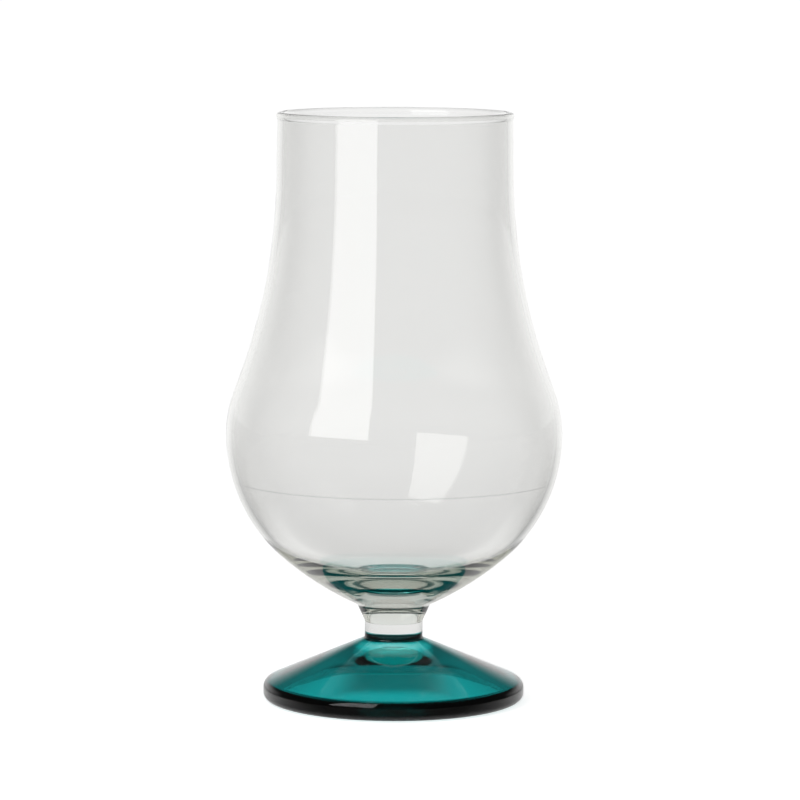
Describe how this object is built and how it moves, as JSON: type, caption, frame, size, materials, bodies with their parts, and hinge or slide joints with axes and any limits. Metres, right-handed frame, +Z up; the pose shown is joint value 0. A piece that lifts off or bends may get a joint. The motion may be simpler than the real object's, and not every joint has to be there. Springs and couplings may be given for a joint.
{
  "type": "whisky nosing glass",
  "caption": "Clear tulip-shaped nosing glass with a round belly and narrow mouth, on a short stem and a solid teal conical foot.",
  "frame": {"origin": "middle of the ring that the foot stands on, at table height", "axes": "+Z up along the axis that the glass is turned about; X and Y lie in the table plane and are alike"},
  "size_m": [0.0658, 0.0658, 0.115],
  "materials": {
    "clear_glass": "clear, fire polished",
    "clear_stem_glass": "clear, fire polished",
    "teal_glass": "teal through its body, fire polished"
  },
  "bodies": {
    "root": {"bowl": "clear_glass", "stem": "clear_stem_glass", "foot": "teal_glass"}
  },
  "joints": []
}
